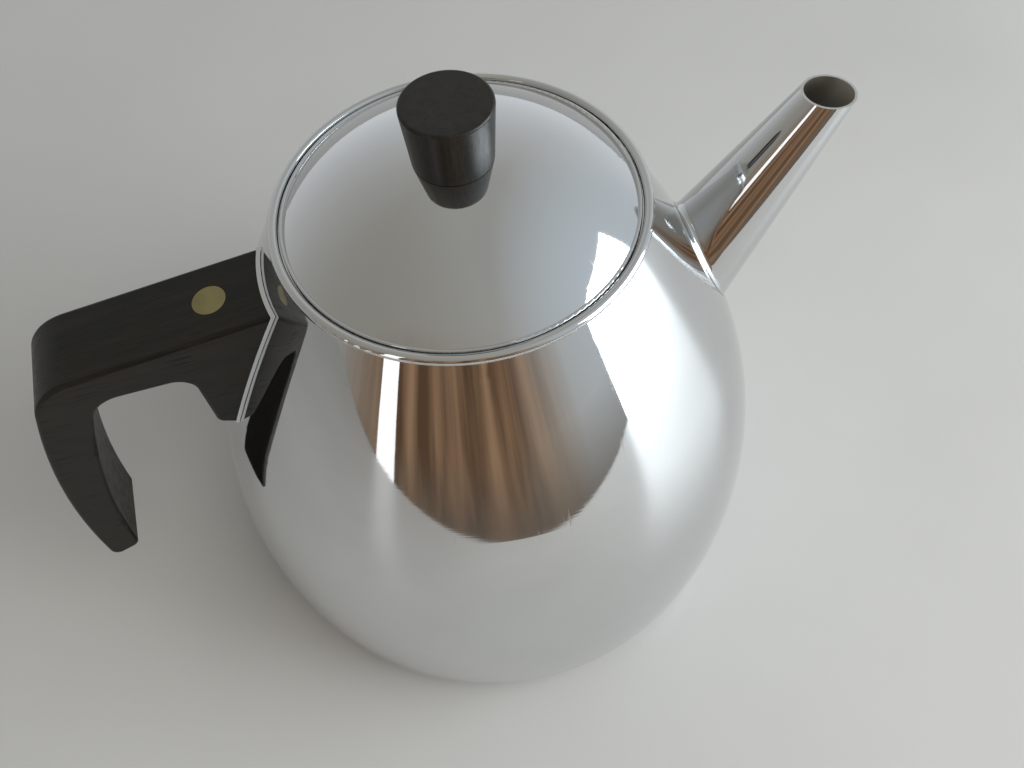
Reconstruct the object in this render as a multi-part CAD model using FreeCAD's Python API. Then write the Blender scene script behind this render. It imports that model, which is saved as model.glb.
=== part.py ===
"""Electric kettle with a plated egg-shaped body, a lift-off domed lid, a straight conical spout
and a dark wooden hook handle. All sizes are millimetres.

The frame: +Z up, the origin on the body's axis in the plane that the kettle stands on,
+X towards the spout, the handle towards -X. The kettle is symmetric about the XZ plane,
apart from the wiring in its base.
"""
import FreeCAD, Part
import math
import os

V = FreeCAD.Vector
UP = V(0, 0, 1)
ORIGIN = V(0, 0, 0)

# Clearances
weld_gap = 0.1          # between pieces that are brazed or welded together
braze_gap = 0.03        # under the spout's fillet
seat_gap = 0.3          # under pieces that lift off or slide
slip_gap = 0.4          # around pieces that pass through a hole
press_gap = 0.05        # around pieces pushed into a bore
past = 100.0            # how far cutting shapes reach beyond the piece they cut
quarter_turn = 90.0     # degrees, takes the seam of a turned wall away from the spout
tiny = 1e-6

# Body outline, from the heel up to the mouth
belly_radius = 73.7
belly_height = 45.0
lower_arc = 140.0       # radius of the outline below the belly
heel_arc = 12.0         # radius of the outline where it turns under
upper_arc = 116.0       # radius of the outline above the belly
upper_turn = 23.0       # degrees through which the upper arc turns
neck_height = 132.4     # where the shoulder meets the bead round the mouth
shell_wall = 0.8
flange_width = 4.2      # the inward flange under the heel

# Mouth and lid
mouth_bore = 79.2
ledge_width = 3.6       # the ledge inside the mouth that carries the lid
mouth_bead = 1.25       # radius of the rolled bead round the mouth
bead_lift = 1.1         # bead centre above the end of the shoulder
neck_step = 0.5         # end of the shoulder outside the centre of the bead
ledge_drop = 0.4        # top of the ledge below the centre of the bead
lid_bead = 0.45         # radius of the rolled edge of the lid
lid_rise = 16.1         # lid apex above the centre of its rolled edge
lid_wall = 0.8
skirt_depth = 9.0       # locating skirt below the lid's edge
lid_hole = 4.6          # hole at the lid's apex

# Knob and its fixing
knob_height = 14.6
knob_top_diameter = 20.8
knob_foot_diameter = 18.5
knob_edge = 0.7
knob_skirt = 1.5            # knob blank below the lid's apex, before it is fitted to the dome
insert_diameter = 7.0
insert_length = 9.0
insert_recess = 1.0         # insert above the lid's apex
insert_end = 1.0            # closed end of the insert
knob_thread = 4.0
knob_screw_grip = 6.0       # screw inside the insert
knob_head_diameter = 8.0
knob_head_height = 2.6
washer_diameter = 12.0
washer_sheet = 0.9
slot_width = 1.2            # screwdriver slots
slot_depth = 1.1

# Spout
spout_root_height = 97.1    # where the spout's axis leaves the body
spout_rise = 57.0           # degrees above the horizontal
spout_length = 52.0         # along the axis, from the body to the tip
spout_tip_diameter = 12.2
spout_taper = 6.8           # degrees, half the cone's angle
spout_wall = 0.6
spout_lip = 7.0             # degrees by which the tip's cut falls towards the lip
spout_fillet = 1.4          # radius of the braze round the spout's root
spout_cut_back = 15.0       # how far the spout's blank reaches past each end

# Wooden handle
handle_top = 124.6          # height of the top face where it meets the body
handle_fall = 6.2           # degrees by which the top face falls outwards
handle_width = 22.0
handle_edge = 1.1           # eased edges
handle_reach = 56.4         # from the body to the outer top corner
grip_drop = 78.0            # from the outer top corner down to the tip
grip_flare = 15.0           # degrees by which the grip first leans out
grip_return = 4.5           # degrees by which its lower half leans back
grip_bend = 0.52            # share of the drop where the lean changes
grip_depth = 10.8           # thickness of the grip at its bend
tip_depth = 8.0             # thickness of the grip at its tip
bar_depth = 8.4             # thickness of the top bar at its outer corner
inner_flare = 17.0          # degrees by which the grip's inner face leans out
inner_bend_drop = 4.0       # inner bend below the outer bend
tip_slant = 22.0            # degrees, slope of the grip's end
foot_clear = 22.3           # from the body's top contact out to the inner face of the foot
foot_drop = 34.0            # height of the foot below the top face
foot_lean = 3.5             # degrees by which the foot narrows downwards
foot_undercut = 26.0        # degrees, slope of the foot's lower end
root_overlap = 12.0         # how far the handle's outline runs into the body before it is trimmed
crown_round = 12.5
grip_round = 185.0
inner_round = 8.5
foot_round = 5.5
tip_round = 2.4

# Handle bracket, screw and plug
saddle_sheet = 0.9
tang_width = 12.0
tang_thickness = 3.2
tang_drop = 10.9            # tang centre below the top face at the body
tang_length = 16.0
plug_reach = 13.1           # plug centre, outwards from the body
plug_diameter = 8.2
plug_thickness = 2.4
handle_thread = 4.0
handle_head_diameter = 7.2
handle_head_height = 2.4
head_shoulder = 2.8         # wood left between the screw's head and the tang

# Floor, heater and base
floor_height = 30.0         # underside of the vessel's floor
floor_sheet = 0.8
floor_rim = 6.0
spreader_radius = 38.0
spreader_thickness = 3.0
element_diameter = 6.6
element_ring_radius = 31.0
element_gap = 80.0          # degrees left open in the ring
tail_bend = 8.0
tail_length = 3.0
terminal_diameter = 2.4
terminal_length = 4.0
foot_height = 1.6
foot_ring_outer = 53.5
foot_ring_inner = 47.5
cover_sheet = 1.2
cover_overlap = 3.0         # cover over the shell's flange
pillar_radius = 43.0
pillar_diameter = 7.0
pillar_count = 3
cover_thread = 3.0
cover_screw_grip = 8.0      # screw inside its pillar
cover_head_diameter = 5.6
cover_head_height = 1.2

# Boil-dry cut-out and its reset button
cutout_diameter = 24.0
cutout_height = 9.0
cutout_boss_diameter = 10.0
cutout_boss_height = 3.0
disc_diameter = 19.0
disc_sheet = 0.5
disc_recess = 1.4
tab_width = 6.3
tab_sheet = 0.8
tab_length = 8.0
tab_root = 6.0              # inner end of a tab from the kettle's axis
tab_side = 7.0              # tab centre line, sideways from the kettle's axis
stem_diameter = 4.0
stem_grip = 5.5             # stem inside the cut-out at rest
button_diameter = 7.4
button_flange = 10.0
button_flange_height = 1.2
button_recess = 0.3         # button tip above the cover's underside
button_travel = 2.5

# Power inlet
inlet_width = 30.0
inlet_lift = 6.0            # underside of the inlet above the table
inlet_depth = 23.0
inlet_proud = 1.0           # inlet's rim outside the wall, which it follows
inlet_corner = 3.0
inlet_wall = 2.4
inlet_back_wall = 6.0
bracket_sheet = 1.2
shelf_length = 11.5         # bracket's shelf over the inlet
window_room = 1.5           # round the pins in the bracket's window
inlet_headroom = 0.8
pin_width = 4.0
pin_sheet = 2.0
pin_pitch = 14.0
pin_setback = 3.0           # pin tips behind the inlet's face
pin_tag = 6.0               # pin behind the inlet's back
line_pin_drop = 2.0         # line pins below the inlet's centre
earth_pin_rise = 2.4        # earth pin above the inlet's centre
inlet_thread = 3.0
inlet_screw_grip = 4.8      # screw inside the inlet's back
inlet_screw_margin = 2.0    # inlet screws beside the bracket's window
inlet_screw_rise = 5.0      # inlet screws above the inlet's underside
inlet_head_diameter = 5.4
inlet_head_height = 1.6
lead_diameter = 2.4
lead_bend = 2.0
lead_straight = 2.0         # straight end of a lead
link_straight = 5.2         # straight end of the lead that turns back
earth_reach = 21.0          # earth screw from the kettle's axis
earth_tag_width = 7.0
earth_tag_length = 8.0
earth_thread = 3.0
earth_head_diameter = 5.6
earth_head_height = 2.2
earth_screw_grip = 2.1      # screw inside the heat spreader

# Heights and radii that follow from the sizes above
shell_bottom = foot_height + cover_sheet
mouth_radius = mouth_bore / 2
bead_radius = mouth_radius + ledge_width
neck_radius = bead_radius + neck_step
bead_height = neck_height + bead_lift
ledge_top = bead_height - ledge_drop


def cylinder(radius, low, high, x=0.0, y=0.0):
    """An upright cylinder between two heights."""
    return Part.makeCylinder(radius, high - low, V(x, y, low), UP)


def block(x0, x1, y0, y1, z0, z1):
    """A box between three pairs of limits."""
    return Part.makeBox(x1 - x0, y1 - y0, z1 - z0, V(x0, y0, z0))


def rounded_wire(points, rounds):
    """A closed wire through the points, each corner rounded by its own tangent arc."""
    count = len(points)
    starts, arcs, ends = [], [], []
    for i in range(count):
        here = points[i]
        back = (points[i - 1] - here).normalize()
        ahead = (points[(i + 1) % count] - here).normalize()
        half = back.getAngle(ahead) / 2
        reach = rounds[i] / math.tan(half)
        inward = (back + ahead).normalize()
        starts.append(here + back * reach)
        arcs.append(here + inward * (rounds[i] / math.sin(half) - rounds[i]))
        ends.append(here + ahead * reach)
    edges = []
    for i in range(count):
        if rounds[i] > 0:
            edges.append(Part.Arc(starts[i], arcs[i], ends[i]).toShape())
        edges.append(Part.LineSegment(ends[i], starts[(i + 1) % count]).toShape())
    return Part.Wire(edges)


def rounded_block(x0, x1, half_width, z0, z1, radius):
    """A box along X whose four long edges are rounded."""
    corners = [(-half_width, z0), (half_width, z0), (half_width, z1), (-half_width, z1)]
    wire = rounded_wire([V(x0, y, z) for y, z in corners], [radius] * 4)
    return Part.Face(wire).extrude(V(x1 - x0, 0, 0))


def tube(edges, diameter):
    """A round bar along a tangent path of edges."""
    path = Part.Wire(edges)
    start = edges[0].valueAt(edges[0].FirstParameter)
    along = edges[0].tangentAt(edges[0].FirstParameter)
    section = Part.Wire([Part.makeCircle(diameter / 2, start, along)])
    return path.makePipeShell([section], True, False)


def bent_path(points, bend):
    """Straight runs through the points, joined by tangent arcs of one radius."""
    edges = []
    last = points[0]
    for before, here, after in zip(points, points[1:], points[2:]):
        back = (before - here).normalize()
        ahead = (after - here).normalize()
        half = back.getAngle(ahead) / 2
        reach = bend / math.tan(half)
        middle = here + (back + ahead).normalize() * (bend / math.sin(half) - bend)
        edges.append(Part.LineSegment(last, here + back * reach).toShape())
        edges.append(Part.Arc(here + back * reach, middle, here + ahead * reach).toShape())
        last = here + ahead * reach
    edges.append(Part.LineSegment(last, points[-1]).toShape())
    return edges


class Outline:
    """The body's outline: four arcs, each with a centre, a radius and a range of surface tilt."""

    def __init__(self):
        heel_sine = (belly_height - shell_bottom - heel_arc) / (lower_arc - heel_arc)
        heel_tilt = -math.asin(heel_sine)
        crown_tilt = math.radians(upper_turn)
        lower_centre = (belly_radius - lower_arc, belly_height)
        upper_centre = (belly_radius - upper_arc, belly_height)
        heel_start = self.on_arc(lower_centre, lower_arc, heel_tilt)
        heel_centre = (
            heel_start[0] - heel_arc * math.cos(heel_tilt),
            heel_start[1] - heel_arc * math.sin(heel_tilt),
        )
        crown = self.on_arc(upper_centre, upper_arc, crown_tilt)
        run, climb = crown[0] - neck_radius, neck_height - crown[1]
        neck_tilt = 2 * math.atan2(run, climb) - crown_tilt
        shoulder_arc = math.hypot(run, climb) / (2 * math.sin((neck_tilt - crown_tilt) / 2))
        shoulder_centre = (
            crown[0] - shoulder_arc * math.cos(crown_tilt),
            crown[1] - shoulder_arc * math.sin(crown_tilt),
        )
        self.arcs = [
            (heel_centre, heel_arc, -math.pi / 2, heel_tilt),
            (lower_centre, lower_arc, heel_tilt, 0.0),
            (upper_centre, upper_arc, 0.0, crown_tilt),
            (shoulder_centre, shoulder_arc, crown_tilt, neck_tilt),
        ]
        self.heel_radius = heel_centre[0]

    @staticmethod
    def on_arc(centre, radius, tilt):
        """The point of an arc where the surface has this tilt."""
        return centre[0] + radius * math.cos(tilt), centre[1] + radius * math.sin(tilt)

    def edges(self, inset=0.0):
        """The outline moved inwards by the inset, as edges from the heel to the neck."""
        made = []
        for centre, radius, low, high in self.arcs:
            spots = [self.on_arc(centre, radius - inset, t) for t in (low, (low + high) / 2, high)]
            made.append(Part.Arc(*[V(r, 0, z) for r, z in spots]).toShape())
        return made

    def end(self, inset=0.0):
        """The outline's last point, at the neck."""
        centre, radius, _, high = self.arcs[-1]
        return self.on_arc(centre, radius - inset, high)

    def radius_at(self, height, inset=0.0):
        """The outline's radius at a height."""
        for centre, radius, low, high in self.arcs:
            sine = (height - centre[1]) / (radius - inset)
            lowest, highest = sorted([math.sin(low), math.sin(high)])
            if lowest - tiny <= sine <= highest + tiny:
                return centre[0] + (radius - inset) * math.sqrt(1 - sine * sine)
        raise ValueError("height lies outside the body")


outline = Outline()


def turned(points_and_edges):
    """Turn a closed section about the body's axis into a solid."""
    face = Part.Face(Part.Wire(points_and_edges))
    return face.revolve(ORIGIN, UP, 360)


def line(a, b):
    """A straight edge between two (radius, height) points."""
    return Part.LineSegment(V(a[0], 0, a[1]), V(b[0], 0, b[1])).toShape()


def filled_body(grow):
    """The body as a full solid, grown outwards, for fitting pieces to its surface."""
    edges = outline.edges(-grow)
    neck = outline.end(-grow)
    top = (neck[0], bead_height + mouth_bead)
    bottom = (outline.heel_radius, shell_bottom - grow)
    edges += [line(neck, top), line(top, (0, top[1])), line((0, top[1]), (0, bottom[1]))]
    edges += [line((0, bottom[1]), bottom)]
    return turned(edges)


# Spout axis: a cone that grows from the tip towards the body
rise = math.radians(spout_rise)
taper = math.tan(math.radians(spout_taper))
spout_axis = V(math.cos(rise), 0, math.sin(rise))
spout_root = V(outline.radius_at(spout_root_height), 0, spout_root_height)
spout_tip = spout_root + spout_axis * spout_length


def spout_cone(thinner):
    """A cone along the spout's axis, past both of its ends."""
    length = spout_length + 2 * spout_cut_back
    start = spout_root - spout_axis * spout_cut_back
    tip_radius = spout_tip_diameter / 2 - spout_cut_back * taper - thinner
    return Part.makeCone(tip_radius + length * taper, tip_radius, length, start, spout_axis)


def root_edges(whole):
    """The edges where the spout's cone meets the turned wall."""
    edges = []
    for edge in whole.Edges:
        surfaces = {type(face.Surface) for face in whole.ancestorsOfType(edge, Part.Face)}
        if surfaces == {Part.Cone, Part.SurfaceOfRevolution}:
            edges.append(edge)
    return edges


def make_spout():
    wall = filled_body(0.0)
    wall.rotate(ORIGIN, UP, quarter_turn)
    whole = wall.fuse(spout_cone(0.0)).removeSplitter()
    whole = whole.makeFillet(spout_fillet, root_edges(whole))
    above = block(-past, past, -past, past, 0, past)
    above.rotate(ORIGIN, V(0, 1, 0), spout_lip)
    above.translate(spout_tip)
    return whole.cut([filled_body(braze_gap), spout_cone(spout_wall), above])


# Power inlet, low at the back under the handle
inlet_top = floor_height - bracket_sheet - inlet_headroom
inlet_bottom = inlet_lift
inlet_middle = (inlet_top + inlet_bottom) / 2
inlet_face = -(outline.radius_at(inlet_middle) + inlet_proud)
inlet_back = inlet_face + inlet_depth


def make_body_shell():
    top = (bead_radius, bead_height)
    inner_top = (bead_radius - shell_wall, bead_height)
    flange_bore = outline.heel_radius - flange_width
    chain = [line((flange_bore, shell_bottom), (outline.heel_radius, shell_bottom))]
    chain += outline.edges() + [line(outline.end(), top), line(top, inner_top)]
    chain += [line(inner_top, outline.end(shell_wall))] + outline.edges(shell_wall)[::-1]
    flange_top = shell_bottom + shell_wall
    chain += [line((outline.heel_radius, flange_top), (flange_bore, flange_top))]
    chain += [line((flange_bore, flange_top), (flange_bore, shell_bottom))]
    shell = turned(chain)
    bead = Part.makeTorus(bead_radius, mouth_bead, V(0, 0, bead_height), UP)
    ledge = cylinder(bead_radius, ledge_top - shell_wall, ledge_top)
    ledge = ledge.cut(cylinder(mouth_radius, 0, bead_height + past))
    shell = shell.fuse([bead, ledge]).removeSplitter()
    window = rounded_block(
        -belly_radius, inlet_back, inlet_width / 2 + slip_gap,
        inlet_bottom - slip_gap, inlet_top + slip_gap, inlet_corner + slip_gap,
    )
    return shell.cut(spout_cone(spout_wall)).cut(window)


def make_vessel_floor():
    rim_top = floor_height + floor_rim
    inset = shell_wall + weld_gap
    centre, radius, _, _ = outline.arcs[1]
    tilts = [math.asin((z - centre[1]) / (radius - inset)) for z in (floor_height, rim_top)]
    middle = sum(tilts) / 2
    outer = [outline.on_arc(centre, radius - inset, t) for t in (tilts[0], middle, tilts[1])]
    inner = [outline.on_arc(centre, radius - inset - floor_sheet, t) for t in (tilts[1], middle)]
    floor_top = floor_height + floor_sheet
    low = (outline.radius_at(floor_top, inset + floor_sheet), floor_top)
    edges = [line((0, floor_height), outer[0])]
    edges += [Part.Arc(*[V(r, 0, z) for r, z in outer]).toShape(), line(outer[2], inner[0])]
    edges += [Part.Arc(*[V(r, 0, z) for r, z in inner + [low]]).toShape()]
    edges += [line(low, (0, floor_top)), line((0, floor_top), (0, floor_height))]
    return turned(edges)


# Lid: a spherical dome with a rolled edge, lying on the ledge
lid_edge_radius = bead_radius - mouth_bead - lid_bead - seat_gap
lid_edge_height = ledge_top + seat_gap + lid_bead
dome_radius = (lid_edge_radius ** 2 + lid_rise ** 2) / (2 * lid_rise)
dome_centre = V(0, 0, lid_edge_height + lid_rise - dome_radius)
lid_apex = lid_edge_height + lid_rise


def dome(radius):
    """A ball about the centre of the lid's dome."""
    return Part.makeSphere(radius, dome_centre)


def make_lid_shell():
    above = cylinder(lid_edge_radius, lid_edge_height, lid_apex + past)
    shell = dome(dome_radius).cut(dome(dome_radius - lid_wall)).common(above)
    bead = Part.makeTorus(lid_edge_radius, lid_bead, V(0, 0, lid_edge_height), UP)
    hole = cylinder(lid_hole / 2, lid_edge_height, lid_apex + past)
    return shell.fuse(bead).removeSplitter().cut(hole)


def make_lid_skirt():
    outer = mouth_radius - slip_gap
    low = ledge_top - skirt_depth
    ring = cylinder(outer, low, lid_apex).cut(cylinder(outer - lid_wall, low, lid_apex))
    ring = ring.common(dome(dome_radius - lid_wall - weld_gap))
    return ring.cut(Part.makeTorus(lid_edge_radius, lid_bead + weld_gap, V(0, 0, lid_edge_height), UP))


knob_top = lid_apex + knob_height
insert_bottom = lid_apex + insert_recess
insert_top = insert_bottom + insert_length
washer_sag = dome_radius - lid_wall - math.sqrt((dome_radius - lid_wall) ** 2 - (washer_diameter / 2) ** 2)
washer_top = lid_apex - lid_wall - washer_sag - press_gap
washer_bottom = washer_top - washer_sheet


def make_lid_knob():
    low = lid_apex - knob_skirt
    widening = (knob_top_diameter - knob_foot_diameter) / 2 / knob_height
    foot = knob_foot_diameter / 2 - knob_skirt * widening
    knob = Part.makeCone(foot, knob_top_diameter / 2, knob_top - low, V(0, 0, low), UP)
    rim = [e for e in knob.Edges if abs(e.BoundBox.ZMin - knob_top) < tiny and e.Closed]
    knob = knob.makeFillet(knob_edge, rim)
    knob = knob.cut(dome(dome_radius + weld_gap))
    bore = cylinder(insert_diameter / 2 + press_gap, low, insert_top + press_gap)
    return knob.cut(bore)


def make_knob_insert():
    body = cylinder(insert_diameter / 2, insert_bottom, insert_top)
    return body.cut(cylinder(knob_thread / 2 + press_gap, insert_bottom, insert_top - insert_end))


def make_knob_screw():
    head_bottom = washer_bottom - knob_head_height
    head = cylinder(knob_head_diameter / 2, head_bottom, washer_bottom)
    shank = cylinder(knob_thread / 2, washer_bottom, insert_bottom + knob_screw_grip)
    slot = block(-slot_width / 2, slot_width / 2, -past, past, head_bottom, head_bottom + slot_depth)
    return head.fuse(shank).removeSplitter().cut(slot)


def make_knob_washer():
    ring = cylinder(washer_diameter / 2, washer_bottom, washer_top)
    return ring.cut(cylinder(lid_hole / 2, washer_bottom, washer_top))


# Handle outline in the XZ plane; distances run outwards from the body, towards -X
handle_root = outline.radius_at(handle_top)


def slope(degrees):
    """Rise over run of an angle."""
    return math.tan(math.radians(degrees))


def top_at(reach):
    """Height of the handle's top face at a distance from the body."""
    return handle_top - reach * slope(handle_fall)


def outward(reach, height):
    """A point of the handle's outline."""
    return V(-(handle_root + reach), 0, height)


def handle_face():
    """The handle's side outline, running into the body at its root."""
    crown = (handle_reach, top_at(handle_reach))
    tip_height = crown[1] - grip_drop
    bend_height = crown[1] - grip_drop * grip_bend
    bend_reach = handle_reach + (crown[1] - bend_height) * slope(grip_flare)
    tip_reach = bend_reach - (bend_height - tip_height) * slope(grip_return)
    gap_top = crown[1] - bar_depth
    inner_bend = (bend_reach - grip_depth, bend_height - inner_bend_drop)
    gap_reach = inner_bend[0] - (gap_top - inner_bend[1]) * slope(inner_flare)
    foot_low = handle_top - foot_drop
    foot_reach = foot_clear - (gap_top - foot_low) * slope(foot_lean)
    inside = -root_overlap
    corners = [
        (outward(inside, top_at(inside)), 0),
        (outward(*crown), crown_round),
        (outward(bend_reach, bend_height), grip_round),
        (outward(tip_reach, tip_height), tip_round),
        (outward(tip_reach - tip_depth, tip_height + tip_depth * slope(tip_slant)), tip_round),
        (outward(*inner_bend), grip_round),
        (outward(gap_reach, gap_top), inner_round),
        (outward(foot_clear, gap_top), foot_round),
        (outward(foot_reach, foot_low), tip_round),
        (outward(inside, foot_low - (foot_reach - inside) * slope(foot_undercut)), 0),
    ]
    points = [point for point, _ in corners]
    rounds = [radius for _, radius in corners]
    return Part.Face(rounded_wire(points, rounds))


def handle_prism(width):
    """The handle's outline as a plank of one width, running into the body."""
    plank = handle_face().extrude(V(0, width, 0))
    plank.translate(V(0, -width / 2, 0))
    return plank


plug_x = -(handle_root + plug_reach)
tang_height = handle_top - tang_drop
tang_top = tang_height + tang_thickness / 2
head_seat = tang_top + press_gap + head_shoulder
head_top = head_seat + handle_head_height
plug_bottom = top_at(plug_reach) - plug_thickness


def make_handle_blank():
    plank = handle_prism(handle_width)
    rims = []
    for edge in plank.Edges:
        side = edge.BoundBox
        if side.YLength < tiny and side.XMin < -handle_root:
            rims.append(edge)
    plank = plank.makeFillet(handle_edge, rims)
    return plank.cut(filled_body(weld_gap * 2 + saddle_sheet))


def tang_block(extra):
    """The bracket's tang, from inside the saddle outwards into the wood."""
    inner = outline.radius_at(tang_height) + weld_gap
    outer = inner + saddle_sheet + tang_length
    half = tang_width / 2 + extra
    return block(-outer - extra, -inner, -half, half,
                 tang_height - tang_thickness / 2 - extra, tang_top + extra)


def make_handle_grip(blank):
    counterbore = cylinder(plug_diameter / 2, head_seat, handle_top + past, plug_x)
    clearance = cylinder(handle_thread / 2 + press_gap, tang_height - tang_thickness, head_seat, plug_x)
    return blank.cut([counterbore, clearance, tang_block(press_gap)])


def make_handle_plug(blank):
    bore = cylinder(plug_diameter / 2 - press_gap, plug_bottom, handle_top + past, plug_x)
    return blank.common(bore)


def make_handle_screw():
    head = cylinder(handle_head_diameter / 2, head_seat, head_top, plug_x)
    shank = cylinder(handle_thread / 2, tang_height - tang_thickness / 2, head_seat, plug_x)
    half = slot_width / 2
    slot = block(plug_x - past, plug_x + past, -half, half, head_top - slot_depth, head_top)
    return head.fuse(shank).removeSplitter().cut(slot)


def make_handle_bracket():
    root_side = block(-handle_root - foot_clear, 0, -past, past, 0, handle_top + past)
    plate = handle_prism(handle_width).common(root_side)
    plate = plate.common(filled_body(weld_gap + saddle_sheet)).cut(filled_body(weld_gap))
    tang = tang_block(0.0).cut(filled_body(weld_gap))
    bracket = plate.fuse(tang).removeSplitter()
    hole = cylinder(handle_thread / 2 + press_gap, tang_height - tang_thickness, handle_top, plug_x)
    return bracket.cut(hole)


# Heater under the floor
spreader_bottom = floor_height - spreader_thickness
element_height = spreader_bottom - weld_gap - element_diameter / 2
tail_top = element_height - tail_bend
tail_bottom = tail_top - tail_length


def tail_place(side):
    """Where a tail of the ring turns down, as (x, y)."""
    angle = math.radians(180 - element_gap / 2)
    x = element_ring_radius * math.cos(angle) - tail_bend * math.sin(angle)
    y = element_ring_radius * math.sin(angle) + tail_bend * math.cos(angle)
    return x, side * y


def make_heating_element():
    half_gap = math.radians(180 - element_gap / 2)
    ends = [V(math.cos(s * half_gap), math.sin(s * half_gap), 0) for s in (-1, 1)]
    lift = V(0, 0, element_height)
    ring = Part.Arc(
        ends[0] * element_ring_radius + lift,
        V(element_ring_radius, 0, element_height),
        ends[1] * element_ring_radius + lift,
    ).toShape()
    bends, legs = [], []
    for side, end in zip((-1, 1), ends):
        start = end * element_ring_radius + lift
        along = V(-end.y, end.x, 0) * side
        middle = start + along * (tail_bend * math.sin(math.pi / 4))
        middle -= UP * (tail_bend * (1 - math.cos(math.pi / 4)))
        low = start + along * tail_bend - UP * tail_bend
        bends.append((start, middle, low))
        legs.append((low, low - UP * tail_length))
    edges = [
        Part.LineSegment(legs[0][1], legs[0][0]).toShape(),
        Part.Arc(*bends[0][::-1]).toShape(),
        ring,
        Part.Arc(*bends[1]).toShape(),
        Part.LineSegment(*legs[1]).toShape(),
    ]
    return tube(edges, element_diameter)


def make_element_terminals():
    pins = []
    for side in (-1, 1):
        x, y = tail_place(side)
        pins.append(cylinder(terminal_diameter / 2, tail_bottom - terminal_length, tail_bottom, x, y))
    return Part.makeCompound(pins)


# Boil-dry cut-out on the kettle's axis
cutout_bottom = spreader_bottom - cutout_height
boss_bottom = cutout_bottom - cutout_boss_height
tab_height = cutout_bottom + cutout_height / 2
stem_top = boss_bottom + stem_grip
button_bottom = foot_height + button_recess
flange_bottom = shell_bottom + seat_gap


def tab_block(extra, direction):
    """A push-on tab on the cut-out, towards -X or towards +Y."""
    far = cutout_diameter / 2 + tab_length
    low, high = tab_height - tab_sheet / 2 - extra, tab_height + tab_sheet / 2 + extra
    half = tab_width / 2 + extra
    if direction == "x":
        return block(-far, -tab_root, tab_side - half, tab_side + half, low, high)
    return block(-half, half, tab_root, far, low, high)


def make_thermal_cutout():
    body = cylinder(cutout_diameter / 2, cutout_bottom, spreader_bottom)
    boss = cylinder(cutout_boss_diameter / 2, boss_bottom, cutout_bottom)
    recess = cylinder(disc_diameter / 2 + press_gap, spreader_bottom - disc_recess, spreader_bottom)
    bore_top = stem_top + button_travel + slip_gap
    bore = cylinder(stem_diameter / 2 + seat_gap, boss_bottom, bore_top)
    body = body.fuse(boss).removeSplitter()
    slots = [tab_block(press_gap, "x"), tab_block(press_gap, "y")]
    return body.cut([recess, bore] + slots)


def make_bimetal_disc():
    low = spreader_bottom - disc_recess
    return cylinder(disc_diameter / 2, low, low + disc_sheet)


def make_cutout_tabs():
    return Part.makeCompound([tab_block(0.0, "x"), tab_block(0.0, "y")])


def make_reset_button():
    tip = cylinder(button_diameter / 2, button_bottom, flange_bottom)
    flange = cylinder(button_flange / 2, flange_bottom, flange_bottom + button_flange_height)
    stem = cylinder(stem_diameter / 2, flange_bottom + button_flange_height, stem_top)
    return tip.fuse([flange, stem]).removeSplitter()


# Inlet, its pins and its bracket
pin_back = inlet_back + pin_tag
line_pin_height = inlet_middle - line_pin_drop
earth_pin_height = inlet_middle + earth_pin_rise
window_half = pin_pitch / 2 + pin_sheet / 2 + window_room


def pin_block(side, height, extra=0.0):
    """A contact pin, beside the inlet's centre line at a height."""
    y = side * pin_pitch / 2
    half = pin_sheet / 2 + extra
    low, high = height - pin_width / 2 - extra, height + pin_width / 2 + extra
    return block(inlet_face + pin_setback, pin_back, y - half, y + half, low, high)


PINS = {"pin_live": (1, line_pin_height), "pin_neutral": (-1, line_pin_height),
        "pin_earth": (0, earth_pin_height)}


def inlet_screw_places():
    """The two inlet screws, as (y, z)."""
    aside = window_half + inlet_screw_margin
    return [(side * aside, inlet_bottom + inlet_screw_rise) for side in (-1, 1)]


def along_x(radius, x0, x1, y, z):
    """A cylinder lying along X."""
    return Part.makeCylinder(radius, x1 - x0, V(x0, y, z), V(1, 0, 0))


def make_inlet_housing():
    front = inlet_face - belly_radius
    outer = rounded_block(front, inlet_back, inlet_width / 2, inlet_bottom, inlet_top, inlet_corner)
    outer = outer.common(filled_body(inlet_proud))
    recess = rounded_block(
        front, inlet_back - inlet_back_wall, inlet_width / 2 - inlet_wall,
        inlet_bottom + inlet_wall, inlet_top - inlet_wall, inlet_corner / 2,
    )
    cuts = [recess] + [pin_block(*place, press_gap) for place in PINS.values()]
    for y, z in inlet_screw_places():
        deep = inlet_back - inlet_screw_grip - press_gap
        cuts.append(along_x(inlet_thread / 2 + press_gap, deep, inlet_back, y, z))
    return outer.cut(cuts)


def make_inlet_bracket():
    plate = block(inlet_back, inlet_back + bracket_sheet, -inlet_width / 2, inlet_width / 2,
                  inlet_bottom + inlet_wall, floor_height)
    shelf = block(inlet_back - shelf_length, inlet_back, -inlet_width / 2, inlet_width / 2,
                  floor_height - bracket_sheet, floor_height)
    room = pin_width / 2 + window_room
    window = block(inlet_back, inlet_back + bracket_sheet, -window_half, window_half,
                   line_pin_height - room, earth_pin_height + room)
    bracket = plate.fuse(shelf).removeSplitter().cut(window)
    for y, z in inlet_screw_places():
        hole = along_x(inlet_thread / 2 + press_gap, inlet_back, inlet_back + bracket_sheet, y, z)
        bracket = bracket.cut(hole)
    return bracket


def make_inlet_screws():
    screws = []
    seat = inlet_back + bracket_sheet
    for y, z in inlet_screw_places():
        head = along_x(inlet_head_diameter / 2, seat, seat + inlet_head_height, y, z)
        shank = along_x(inlet_thread / 2, inlet_back - inlet_screw_grip, seat, y, z)
        screws.append(head.fuse(shank).removeSplitter())
    return Part.makeCompound(screws)


# Wiring in the base
earth_tag_top = spreader_bottom


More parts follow.
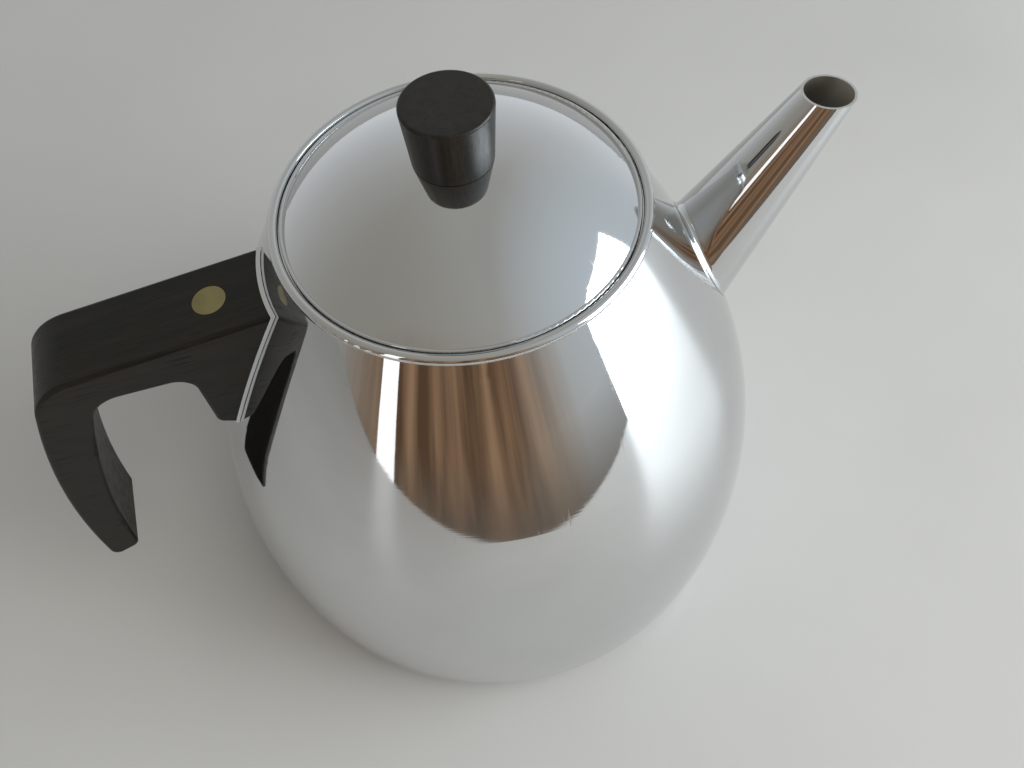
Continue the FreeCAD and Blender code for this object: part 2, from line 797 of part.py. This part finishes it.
def make_earth_tag():
    plate = block(-earth_reach - earth_tag_length, -earth_reach + earth_tag_width / 2,
                  -earth_tag_width / 2, earth_tag_width / 2, earth_tag_top - tab_sheet, earth_tag_top)
    return plate.cut(cylinder(earth_thread / 2 + press_gap, 0, floor_height, -earth_reach))


def make_earth_screw():
    seat = earth_tag_top - tab_sheet
    head = cylinder(earth_head_diameter / 2, seat - earth_head_height, seat, -earth_reach)
    shank = cylinder(earth_thread / 2, seat, spreader_bottom + earth_screw_grip, -earth_reach)
    return head.fuse(shank).removeSplitter()


def make_heat_spreader():
    disc = cylinder(spreader_radius, spreader_bottom, floor_height)
    hole_top = spreader_bottom + earth_screw_grip + press_gap
    hole = cylinder(earth_thread / 2 + press_gap, 0, hole_top, -earth_reach)
    return disc.cut(hole)


terminal_middle = tail_bottom - terminal_length / 2
tail_x, tail_y = tail_place(1)
tab_end = cutout_diameter / 2 + tab_length


def make_lead(start, end, straight):
    """A lead between two ends that both lie along X, with a slanting run between them."""
    out = V(straight, 0, 0)
    return tube(bent_path([start, start + out, end - out, end], lead_bend), lead_diameter)


def make_lead_live():
    start = V(pin_back + weld_gap, pin_pitch / 2, line_pin_height)
    return make_lead(start, V(-tab_end - weld_gap, tab_side, tab_height), lead_straight)


def make_lead_neutral():
    start = V(pin_back + weld_gap, -pin_pitch / 2, line_pin_height)
    end = V(tail_x - terminal_diameter / 2 - weld_gap, -tail_y, terminal_middle)
    return make_lead(start, end, lead_straight)


def make_lead_earth():
    start = V(pin_back + weld_gap, 0, earth_pin_height)
    end = V(-earth_reach - earth_tag_length - weld_gap, 0, earth_tag_top - lead_diameter / 2 - weld_gap)
    return make_lead(start, end, lead_straight)


def make_lead_link():
    start = V(0, tab_end + weld_gap, tab_height)
    end = V(tail_x + terminal_diameter / 2 + weld_gap, tail_y, terminal_middle)
    turns = [start + V(0, link_straight, 0), end + V(link_straight, 0, 0)]
    return tube(bent_path([start] + turns + [end], lead_bend), lead_diameter)


# Base cover, its pillars and the foot ring
cover_radius = outline.heel_radius - flange_width + cover_overlap


def pillar_places():
    """The pillars under the floor, as (x, y)."""
    angles = [2 * math.pi * i / pillar_count for i in range(pillar_count)]
    return [(pillar_radius * math.cos(a), pillar_radius * math.sin(a)) for a in angles]


def make_cover_pillars():
    pillars = []
    for x, y in pillar_places():
        post = cylinder(pillar_diameter / 2, shell_bottom, floor_height, x, y)
        hole_top = shell_bottom + cover_screw_grip + slip_gap
        hole = cylinder(cover_thread / 2 + press_gap, shell_bottom, hole_top, x, y)
        pillars.append(post.cut(hole))
    return Part.makeCompound(pillars)


def make_base_cover():
    disc = cylinder(cover_radius, foot_height, shell_bottom)
    cuts = [cylinder(button_diameter / 2 + slip_gap, 0, shell_bottom)]
    for x, y in pillar_places():
        cuts.append(cylinder(cover_thread / 2 + press_gap, 0, shell_bottom, x, y))
    return disc.cut(cuts)


def make_cover_screws():
    screws = []
    for x, y in pillar_places():
        head = cylinder(cover_head_diameter / 2, foot_height - cover_head_height, foot_height, x, y)
        shank = cylinder(cover_thread / 2, foot_height, shell_bottom + cover_screw_grip, x, y)
        screws.append(head.fuse(shank).removeSplitter())
    return Part.makeCompound(screws)


def make_foot_ring():
    return cylinder(foot_ring_outer, 0, foot_height).cut(cylinder(foot_ring_inner, 0, foot_height))


def main():
    blank = make_handle_blank()
    nodes = {
        "body_shell": make_body_shell(),
        "vessel_floor": make_vessel_floor(),
        "spout": make_spout(),
        "lid_shell": make_lid_shell(),
        "lid_skirt": make_lid_skirt(),
        "lid_knob": make_lid_knob(),
        "knob_insert": make_knob_insert(),
        "knob_screw": make_knob_screw(),
        "knob_washer": make_knob_washer(),
        "handle_grip": make_handle_grip(blank),
        "handle_bracket": make_handle_bracket(),
        "handle_screw": make_handle_screw(),
        "handle_plug": make_handle_plug(blank),
        "heat_spreader": make_heat_spreader(),
        "heating_element": make_heating_element(),
        "element_terminals": make_element_terminals(),
        "thermal_cutout": make_thermal_cutout(),
        "bimetal_disc": make_bimetal_disc(),
        "cutout_tabs": make_cutout_tabs(),
        "reset_button": make_reset_button(),
        "inlet_housing": make_inlet_housing(),
        "inlet_bracket": make_inlet_bracket(),
        "inlet_screws": make_inlet_screws(),
        "lead_live": make_lead_live(),
        "lead_link": make_lead_link(),
        "lead_neutral": make_lead_neutral(),
        "lead_earth": make_lead_earth(),
        "earth_tag": make_earth_tag(),
        "earth_screw": make_earth_screw(),
        "cover_pillars": make_cover_pillars(),
        "base_cover": make_base_cover(),
        "cover_screws": make_cover_screws(),
        "foot_ring": make_foot_ring(),
    }
    for name, place in PINS.items():
        nodes[name] = pin_block(*place)
    os.makedirs("parts", exist_ok=True)
    for name, shape in nodes.items():
        shape.exportStep(f"parts/{name}.step")
        box = shape.BoundBox
        limits = [box.XMin, box.XMax, box.YMin, box.YMax, box.ZMin, box.ZMax]
        print(name, len(shape.Solids), "solids, valid", shape.isValid(), "volume", round(shape.Volume, 1),
              "limits", [round(limit, 1) for limit in limits])


main()
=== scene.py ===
# %% [markdown]
# # A plated kettle with a wooden handle
# The kettle's solids are already made and packed, with a name for every piece. This lesson loads them as a
# fixed frame, sets up the camera, and gives each piece its finish. Everything is in metres, with +Z up, the
# spout towards +X and the handle towards -X.

# %% Load the solids
import math

import bpy
from mathutils import Euler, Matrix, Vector

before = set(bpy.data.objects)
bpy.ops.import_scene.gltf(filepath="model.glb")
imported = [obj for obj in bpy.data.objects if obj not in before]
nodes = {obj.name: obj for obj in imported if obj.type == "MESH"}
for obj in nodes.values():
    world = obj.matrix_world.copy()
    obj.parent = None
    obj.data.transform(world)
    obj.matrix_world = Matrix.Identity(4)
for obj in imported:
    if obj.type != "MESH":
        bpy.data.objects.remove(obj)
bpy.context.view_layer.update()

# %% [markdown]
# ## The camera
# The photograph looks down on the lid from the front, and the camera is tipped a little to one side. Its
# place and its angles come from the ellipses of the lid and the mouth, so they are written here as plain
# numbers.

# %% Place the camera
SENSOR_WIDTH_MM = 36.0
LENS_MM = 39.73
CAMERA_PLACE = (-0.02656, -0.17775, 0.32440)
CAMERA_ANGLES = (33.928, 3.286, -15.817)

scene = bpy.context.scene
camera = bpy.data.objects.new("camera", bpy.data.cameras.new("camera"))
scene.collection.objects.link(camera)
camera.data.sensor_width = SENSOR_WIDTH_MM
camera.data.lens = LENS_MM
camera.location = CAMERA_PLACE
camera.rotation_euler = Euler([math.radians(angle) for angle in CAMERA_ANGLES])
scene.camera = camera
scene.view_settings.view_transform = "Standard"
print("camera at", CAMERA_PLACE)

# %% [markdown]
# ## Writing shaders as sums
# A finish is a sum of patterns: smears on the plate, pores in the wood. Blender adds patterns with Math
# nodes, and wiring those by hand hides the sum. This small class wraps a socket, so that a line such as
# `0.04 + 0.1 * smear` adds the nodes.

# %% A socket that adds and multiplies


class Wire:
    """A shader socket that takes part in sums. Any node comes from its `node` method."""

    def __init__(self, tree, socket=None):
        self.tree = tree
        self.socket = socket

    def node(self, kind, settings=None, inputs=None, out=0):
        """Add a node: its type, its settings, then the values or wires of its sockets."""
        made = self.tree.nodes.new(kind)
        for name, value in (settings or {}).items():
            setattr(made, name, value)
        for name, value in (inputs or {}).items():
            if isinstance(value, Wire):
                self.tree.links.new(value.socket, made.inputs[name])
            else:
                made.inputs[name].default_value = value
        return None if out is None else Wire(self.tree, made.outputs[out])

    def sum_node(self, operation, first, second):
        return self.node("ShaderNodeMath", {"operation": operation}, {0: first, 1: second})

    def __add__(self, other):
        return self.sum_node("ADD", self, other)

    def __sub__(self, other):
        return self.sum_node("SUBTRACT", self, other)

    def __rsub__(self, other):
        return self.sum_node("SUBTRACT", other, self)

    def __mul__(self, other):
        return self.sum_node("MULTIPLY", self, other)

    __radd__ = __add__
    __rmul__ = __mul__

    def axis(self, letter):
        """One part of a vector: X, Y or Z."""
        return self.node("ShaderNodeSeparateXYZ", {}, {0: self}, letter)

    def vector(self, operation, other, out="Vector"):
        """Vector maths with another vector. A dot product comes out as `Value`."""
        return self.node("ShaderNodeVectorMath", {"operation": operation}, {0: self, 1: other}, out)

    def tint(self, low, high):
        """A colour between two, with this wire as the share of the second."""
        return self.node("ShaderNodeMix", {"data_type": "RGBA"}, {0: self, 6: low, 7: high}, out=2)

    def clip(self, low, high):
        """This wire stretched so that low becomes 0 and high becomes 1, and cut off there."""
        limits = {"Value": self, "From Min": low, "From Max": high}
        return self.node("ShaderNodeMapRange", {"clamp": True}, limits)


def rgb(red, green, blue):
    return (red, green, blue, 1.0)


print("wires ready")

# %% [markdown]
# ## From patterns to a material
# Every finish here is one Principled shader. Values that are the same all over the piece are set on its
# sockets, and a value that changes over the surface comes in as a wire. Patterns are read from the object's
# own coordinates, so they are in metres and stay put when the lid lifts.

# %% Start a finish and read patterns


def start_finish():
    """A material with an empty tree, and a wire that stands for it."""
    material = bpy.data.materials.new("finish")
    material.use_nodes = True
    material.node_tree.nodes.clear()
    return material, Wire(material.node_tree)


def own_place(wire):
    """Points in the object's own coordinates."""
    return wire.node("ShaderNodeTexCoord", out="Object")


def stretched_noise(wire, size, detail=3.0, roughness=0.5, turn=(0.0, 0.0, 0.0)):
    """Noise whose blotches have this size in metres along X, Y and Z, before the pattern is turned."""
    layout = {"Vector": own_place(wire), "Scale": size, "Rotation": turn}
    mapped = wire.node("ShaderNodeMapping", {"vector_type": "TEXTURE"}, layout)
    settings = {"Vector": mapped, "Scale": 1.0, "Detail": detail, "Roughness": roughness}
    return wire.node("ShaderNodeTexNoise", {}, settings)


print("patterns ready")

# %% [markdown]
# A height pattern becomes a normal, and the sockets of the Principled shader are fed by name. One last
# function puts a finished material on the solids.

# %% Close a finish and put it on


def bump(wire, height, depth):
    """A normal from a height pattern; depth is in metres."""
    return wire.node("ShaderNodeBump", {}, {"Height": height, "Distance": depth, "Strength": 1.0})


def close_finish(material, wire, name, **sockets):
    """Feed a Principled shader, socket by socket, and name the material."""
    material.name = name
    inputs = {key.replace("_", " ").title().replace("Ior", "IOR"): value for key, value in sockets.items()}
    shader = wire.node("ShaderNodeBsdfPrincipled", {}, inputs, out="BSDF")
    wire.node("ShaderNodeOutputMaterial", {}, {"Surface": shader}, out=None)
    return material


def dress(material, *names):
    """Give CAD nodes a finish."""
    for name in names:
        slots = nodes[name].data.materials
        slots.clear()
        slots.append(material)
    print(material.name, "on", ", ".join(names))


print("finishes can be closed")

# %% [markdown]
# ## Bare insides
# Plating is only for show: inside the body, under the lid and down the spout the metal is bare and dull.
# Each shell is one solid, so its finish has to find the inside by itself. Splitting the mesh would work
# too, but the solids stay as they are. Inside the body the surface faces the kettle's axis, and under the
# lid it faces down. Down the spout a point is nearer to the spout's axis than the middle of the wall is.

# %% Find the insides
LEVEL = (1, 1, 0)
LEDGE_HEIGHT = 0.1320
SPOUT_TIP = (0.08985, 0.0, 0.14071)
SPOUT_AXIS = (0.54464, 0.0, 0.83867)
SPOUT_TAPER = 0.1192
SPOUT_WALL_MIDDLE = 0.0058
EDGE_BLUR = 0.0001
LEAST_DOWN_TILT = 0.2
TILT_BLUR = 0.1


def facing(wire):
    """The surface's normal."""
    return wire.node("ShaderNodeNewGeometry", out="Normal")


def body_inside(wire):
    """1 where the body's surface faces the axis, below the ledge that carries the lid."""
    place = own_place(wire)
    outward = facing(wire).vector("DOT_PRODUCT", place.vector("MULTIPLY", LEVEL), "Value")
    below_ledge = (LEDGE_HEIGHT - place.axis("Z")).clip(0.0, EDGE_BLUR)
    return (0 - outward).clip(0.0, EDGE_BLUR) * below_ledge


def lid_inside(wire):
    """1 where the lid's surface faces down."""
    return (-LEAST_DOWN_TILT - facing(wire).axis("Z")).clip(0.0, TILT_BLUR)


def spout_inside(wire):
    """1 nearer to the spout's axis than the middle of its wall."""
    reach = own_place(wire).vector("SUBTRACT", SPOUT_TIP)
    along = reach.vector("DOT_PRODUCT", SPOUT_AXIS, "Value")
    aside = reach.vector("CROSS_PRODUCT", SPOUT_AXIS)
    away = wire.node("ShaderNodeVectorMath", {"operation": "LENGTH"}, {0: aside}, "Value")
    return (SPOUT_WALL_MIDDLE - SPOUT_TAPER * along - away).clip(0.0, EDGE_BLUR)


print("spout axis from", SPOUT_TIP)

# %% [markdown]
# ## Chrome plate
# The body, the lid, the spout and the saddle under the handle are polished and chrome plated. A perfect
# mirror looks false, so three patterns break it. Wiping leaves broad smears that raise the roughness a
# little. The polishing wheel leaves fine rings round the kettle. Years of cloths leave short slanting
# hairlines.

# %% Mix the chrome
SMEAR_SIZE = (0.070, 0.070, 0.045)
RING_SIZE = (0.012, 0.012, 0.0004)
HAIR_SIZE = (0.0005, 0.014, 0.014)
HAIR_TURN = (0.5, 0.3, 0.8)
SMEAR_RANGE = (0.42, 0.72)
HAIR_RANGE = (0.66, 0.74)
HAIR_SHARE = 0.5
POLISH_DEPTH = 0.000002
MIRROR_ROUGHNESS = 0.03
SMEAR_ROUGHNESS = 0.05
HAIR_ROUGHNESS = 0.08
BARE_ROUGHNESS = 0.45
CLEAN_PLATE = rgb(0.68, 0.69, 0.70)
SMEARED_PLATE = rgb(0.64, 0.65, 0.66)
BARE_SHEET = rgb(0.50, 0.49, 0.47)
BARE_TUBE = rgb(0.62, 0.59, 0.54)


def chrome_plate(name, inside=None, bare=BARE_SHEET):
    """Mirror plate, with bare metal where the inside pattern is 1."""
    material, wire = start_finish()
    smear = stretched_noise(wire, SMEAR_SIZE, detail=4.0).clip(*SMEAR_RANGE)
    rings = stretched_noise(wire, RING_SIZE, detail=2.0)
    hairs = stretched_noise(wire, HAIR_SIZE, turn=HAIR_TURN).clip(*HAIR_RANGE)
    colour = smear.tint(CLEAN_PLATE, SMEARED_PLATE)
    roughness = MIRROR_ROUGHNESS + SMEAR_ROUGHNESS * smear + HAIR_ROUGHNESS * hairs
    if inside:
        dull = inside(wire)
        colour = dull.tint(colour, bare)
        roughness = roughness + BARE_ROUGHNESS * dull
    return close_finish(
        material, wire, name,
        base_color=colour,
        metallic=1.0,
        roughness=roughness,
        normal=bump(wire, rings - HAIR_SHARE * hairs, POLISH_DEPTH),
    )


dress(chrome_plate("chrome_plate"), "handle_bracket")
dress(chrome_plate("body_plate", body_inside), "body_shell")
dress(chrome_plate("lid_plate", lid_inside), "lid_shell")
dress(chrome_plate("spout_plate", spout_inside, BARE_TUBE), "spout")

# %% [markdown]
# ## Dark wood
# The handle is cut from a dark close-grained plank, and the knob is turned from the same wood. The grain is
# noise that is stretched along the plank. A second, finer noise gives the open pores, which are darker and
# lie a little deeper than the oiled surface around them. The oil is thin, so the wood mirrors less than
# lacquer would.

# %% Mix the wood
DARK_GRAIN = rgb(0.0050, 0.0052, 0.0038)
PALE_GRAIN = rgb(0.0150, 0.0110, 0.0062)
PORE = rgb(0.0025, 0.0025, 0.0020)
GRAIN_RANGE = (0.40, 0.68)
PORE_RANGE = (0.56, 0.70)
OILED_ROUGHNESS = 0.34
GRAIN_ROUGHNESS = 0.10
PORE_ROUGHNESS = 0.12


def dark_wood(name, grain_size, pore_size, pore_depth, shine):
    """Wood with long grain and pores; shine is the strength of its highlights."""
    material, wire = start_finish()
    streak = stretched_noise(wire, grain_size, detail=6.0, roughness=0.6).clip(*GRAIN_RANGE)
    pores = stretched_noise(wire, pore_size, detail=2.0).clip(*PORE_RANGE)
    return close_finish(
        material, wire, name,
        base_color=pores.tint(streak.tint(DARK_GRAIN, PALE_GRAIN), PORE),
        roughness=OILED_ROUGHNESS + GRAIN_ROUGHNESS * streak + PORE_ROUGHNESS * pores,
        specular_ior_level=shine,
        normal=bump(wire, 1 - pores, pore_depth),
    )


handle_wood = dark_wood(
    "handle_wood",
    grain_size=(0.045, 0.0024, 0.0038), pore_size=(0.009, 0.0004, 0.0006), pore_depth=0.00002, shine=0.30)
knob_wood = dark_wood(
    "knob_wood",
    grain_size=(0.0024, 0.0024, 0.042), pore_size=(0.0004, 0.0004, 0.008), pore_depth=0.000005, shine=0.42)
dress(handle_wood, "handle_grip")
dress(knob_wood, "lid_knob")

# %% [markdown]
# ## Plain finishes
# The other pieces are brass, plated steel, bare steel, moulded plastic, rubber and sleeved wire. Each has a
# mottled colour and an uneven gloss, so one recipe makes all of them from two colours and two values of
# roughness.

# %% A recipe for plain finishes
CLOUD_SIZE = 0.008
CLOUD_RANGE = (0.3, 0.7)
SPECKS_PER_CLOUD = 18
SPECK_DEPTH = 0.00001


def mottled(name, low, high, roughness, metallic):
    """A finish that wanders between two colours and between two values of roughness."""
    material, wire = start_finish()
    cloud = stretched_noise(wire, [CLOUD_SIZE] * 3, detail=5.0).clip(*CLOUD_RANGE)
    specks = stretched_noise(wire, [CLOUD_SIZE / SPECKS_PER_CLOUD] * 3, detail=2.0)
    return close_finish(
        material, wire, name,
        base_color=cloud.tint(rgb(*low), rgb(*high)),
        metallic=metallic,
        roughness=roughness[0] + (roughness[1] - roughness[0]) * cloud,
        normal=bump(wire, specks, SPECK_DEPTH),
    )


print("clouds of", CLOUD_SIZE, "m")

# %% [markdown]
# Metal shows its colour in its reflections, so the metals differ from the mouldings in one value. Screws
# and brackets are zinc plated, the contacts and the plug in the handle are brass, and the floor is steel.

# %% Mix the metals
METALS = [
    ("brass", (0.36, 0.31, 0.15), (0.27, 0.24, 0.12), (0.30, 0.46),
     ["handle_plug", "knob_insert", "bimetal_disc", "cutout_tabs", "earth_tag", "pin_live", "pin_neutral",
      "pin_earth"]),
    ("zinc_plate", (0.56, 0.56, 0.55), (0.48, 0.48, 0.47), (0.28, 0.42),
     ["knob_screw", "knob_washer", "handle_screw", "element_terminals", "inlet_bracket", "inlet_screws",
      "earth_screw", "cover_pillars", "cover_screws"]),
    ("bare_steel", (0.60, 0.60, 0.59), (0.54, 0.54, 0.53), (0.24, 0.36),
     ["vessel_floor", "lid_skirt", "heating_element", "base_cover"]),
    ("cast_aluminium", (0.70, 0.70, 0.71), (0.60, 0.60, 0.61), (0.42, 0.58), ["heat_spreader"]),
]
for name, low, high, roughness, pieces in METALS:
    dress(mottled(name, low, high, roughness, metallic=1.0), *pieces)

# %% [markdown]
# Mouldings, rubber and sleeves use the same recipe. The leads in the base have the usual sleeves: brown for
# live, blue for neutral and green for earth.

# %% Mix the mouldings, the rubber and the sleeves
MOULDINGS = [
    ("black_moulding", (0.020, 0.020, 0.020), (0.028, 0.027, 0.026), (0.45, 0.58),
     ["thermal_cutout", "inlet_housing"]),
    ("red_moulding", (0.42, 0.035, 0.025), (0.34, 0.03, 0.02), (0.32, 0.42), ["reset_button"]),
    ("foot_rubber", (0.030, 0.030, 0.029), (0.042, 0.041, 0.040), (0.70, 0.84), ["foot_ring"]),
    ("brown_sleeve", (0.16, 0.07, 0.03), (0.12, 0.05, 0.02), (0.5, 0.6), ["lead_live", "lead_link"]),
    ("blue_sleeve", (0.03, 0.08, 0.35), (0.02, 0.06, 0.27), (0.5, 0.6), ["lead_neutral"]),
    ("green_sleeve", (0.05, 0.30, 0.08), (0.04, 0.22, 0.06), (0.5, 0.6), ["lead_earth"]),
]
for name, low, high, roughness, pieces in MOULDINGS:
    dress(mottled(name, low, high, roughness, metallic=0.0), *pieces)

# %% [markdown]
# ## The table
# The kettle stands on a pale table. Plate is a mirror, so the table matters twice: it carries the shadow,
# and its front edge is the line that curves across the front of the body, between the bright table and the
# dimmer room.

# %% Make the table
TABLE_LEFT, TABLE_RIGHT = -1.3, 1.0
TABLE_FRONT, TABLE_BACK = -0.345, 1.1
TABLE_THICKNESS = 0.03
TABLE_PALE = rgb(0.540, 0.538, 0.535)
TABLE_DIM = rgb(0.500, 0.498, 0.495)
TABLE_CLOUD_SIZE = (0.2, 0.2, 0.2)
TABLE_CLOUD_RANGE = (0.35, 0.65)
TABLE_GRIT_SIZE = (0.0014, 0.0014, 0.0014)
TABLE_GRIT_DEPTH = 0.00002
TABLE_ROUGHNESS = 0.26
GRIT_ROUGHNESS = 0.1
BOX_FACES = [(3, 2, 1, 0), (4, 5, 6, 7), (0, 1, 5, 4), (1, 2, 6, 5), (2, 3, 7, 6), (3, 0, 4, 7)]


def table_top():
    """A pale coat with faint clouds and a fine grit."""
    material, wire = start_finish()
    cloud = stretched_noise(wire, TABLE_CLOUD_SIZE, detail=4.0).clip(*TABLE_CLOUD_RANGE)
    grit = stretched_noise(wire, TABLE_GRIT_SIZE, detail=2.0)
    return close_finish(
        material, wire, "table_top",
        base_color=cloud.tint(TABLE_PALE, TABLE_DIM),
        roughness=TABLE_ROUGHNESS + GRIT_ROUGHNESS * grit,
        normal=bump(wire, grit, TABLE_GRIT_DEPTH),
    )


outline = [
    (TABLE_LEFT, TABLE_FRONT), (TABLE_RIGHT, TABLE_FRONT),
    (TABLE_RIGHT, TABLE_BACK), (TABLE_LEFT, TABLE_BACK),
]
corners = [(x, y, z) for z in (-TABLE_THICKNESS, 0.0) for x, y in outline]
table_mesh = bpy.data.meshes.new("table")
table_mesh.from_pydata(corners, [], BOX_FACES)
table = bpy.data.objects.new("table", table_mesh)
scene.collection.objects.link(table)
table_mesh.materials.append(table_top())
print("table front edge at", TABLE_FRONT)

# %% [markdown]
# ## The room
# The room is a plain gradient of pale walls, brighter at the back and dimmer to the left and overhead.
# Behind the camera hangs a plain brown backcloth in soft folds, which gives the front of the body its dark
# middle. A picture of a room would show more detail, but it would also hide the shape of the plate.

# %% Paint the room
FRONT_WALL = rgb(0.36, 0.345, 0.31)
BACK_WALL = rgb(0.63, 0.655, 0.68)
FRONT_TO_BACK = (-0.5, 0.6)
CEILING = rgb(0.340, 0.335, 0.310)
WALL_TO_CEILING = (-0.05, 0.85)
LEFT_SHADE = rgb(0.15, 0.13, 0.09)
LEFT_RANGE = (0.0, 0.9)
LEFT_SHARE = 0.50
WINDOW_GLOW = rgb(0.53, 0.59, 0.635)
WINDOW_SIDE = (0.9, -0.25, 0.3)
WINDOW_RANGE = (0.45, 1.0)


def wall_colour(place):
    """Walls and ceiling, dimmer on the left and brighter on the window's side."""
    right, back, up = [place.axis(letter) for letter in "XYZ"]
    sides = back.clip(*FRONT_TO_BACK).tint(FRONT_WALL, BACK_WALL)
    walls = up.clip(*WALL_TO_CEILING).tint(sides, CEILING)
    walls = (LEFT_SHARE * (0 - right).clip(*LEFT_RANGE)).tint(walls, LEFT_SHADE)
    window_side = place.vector("DOT_PRODUCT", WINDOW_SIDE, "Value").clip(*WINDOW_RANGE)
    return window_side.tint(walls, WINDOW_GLOW)


print("back wall", BACK_WALL)

# %% [markdown]
# The folds of the backcloth are noise that is stretched upwards. The cloth fades out at its sides and at its
# top, so that it leaves no hard edge in the plate.

# %% Hang the backcloth and close the room
FOLD_SCALE = (9.0, 9.0, 0.8)
FOLD_RANGE = (0.36, 0.66)
FOLD_SHADE = rgb(0.095, 0.054, 0.031)
FOLD_LIGHT = rgb(0.300, 0.185, 0.110)
CLOTH_SIDE = (-0.42, -0.91, 0.0)
CLOTH_RANGE = (0.58, 0.90)
CLOTH_TOP = (0.35, 0.80)
UNDER_TABLE = rgb(0.12, 0.10, 0.08)
UNDER_RANGE = (-0.35, -0.12)
ROOM_STRENGTH = 1.17


def backcloth_colour(wire, place):
    """Brown cloth with upright folds."""
    mapped = wire.node("ShaderNodeMapping", {}, {"Vector": place, "Scale": FOLD_SCALE})
    folds = wire.node("ShaderNodeTexNoise", {}, {"Vector": mapped, "Scale": 1.0, "Detail": 3.0})
    return folds.clip(*FOLD_RANGE).tint(FOLD_SHADE, FOLD_LIGHT)


def plain_room():
    """A world of walls, backcloth and the dark under the table."""
    world = bpy.data.worlds.new("room")
    world.use_nodes = True
    world.node_tree.nodes.clear()
    scene.world = world
    wire = Wire(world.node_tree)
    place = wire.node("ShaderNodeTexCoord", out="Generated")
    up = place.axis("Z")
    cloth = place.vector("DOT_PRODUCT", CLOTH_SIDE, "Value").clip(*CLOTH_RANGE) * (1 - up.clip(*CLOTH_TOP))
    room = cloth.tint(wall_colour(place), backcloth_colour(wire, place))
    colour = up.clip(*UNDER_RANGE).tint(UNDER_TABLE, room)
    light = wire.node("ShaderNodeBackground", {}, {"Color": colour, "Strength": ROOM_STRENGTH})
    wire.node("ShaderNodeOutputWorld", {}, {"Surface": light}, out=None)


plain_room()
print("room strength", ROOM_STRENGTH)

# %% [markdown]
# ## The lamps
# One large soft window stands to the right. It lights the table, and it is the bright patch on the right
# shoulder. A tall narrow strip at the front left puts a thin bright line on the body and a spark on each
# bead. A warmer fill above the camera lifts the front of the table. Plate would mirror it as a hard white
# square, so it is hidden from reflections.

# %% Hang the lamps


def soft_light(name, place, aim, size, power, colour, mirrored=True):
    """A rectangle of light; one that isn't mirrored lights the table without showing in the plate."""
    lamp = bpy.data.lights.new(name, "AREA")
    lamp.shape = "RECTANGLE"
    lamp.size, lamp.size_y = size
    lamp.energy = power
    lamp.color = colour
    holder = bpy.data.objects.new(name, lamp)
    holder.location = place
    holder.rotation_euler = (Vector(aim) - Vector(place)).to_track_quat("-Z", "Y").to_euler()
    holder.visible_glossy = mirrored
    scene.collection.objects.link(holder)
    print(name, "at", place)


soft_light("window", place=(1.05, -0.42, 0.30), aim=(0, 0, 0.1), size=(0.95, 1.0), power=18.0,
           colour=(0.89, 0.96, 1.0))
soft_light("strip", place=(-2.0, -1.56, 0.55), aim=(0, 0, 0.1), size=(0.36, 2.4), power=3.8,
           colour=(0.97, 0.985, 1.0))
soft_light("fill", place=(0.30, -0.55, 0.65), aim=(0.05, -0.1, 0), size=(0.7, 0.7), power=3.8,
           colour=(1.0, 0.96, 0.88), mirrored=False)
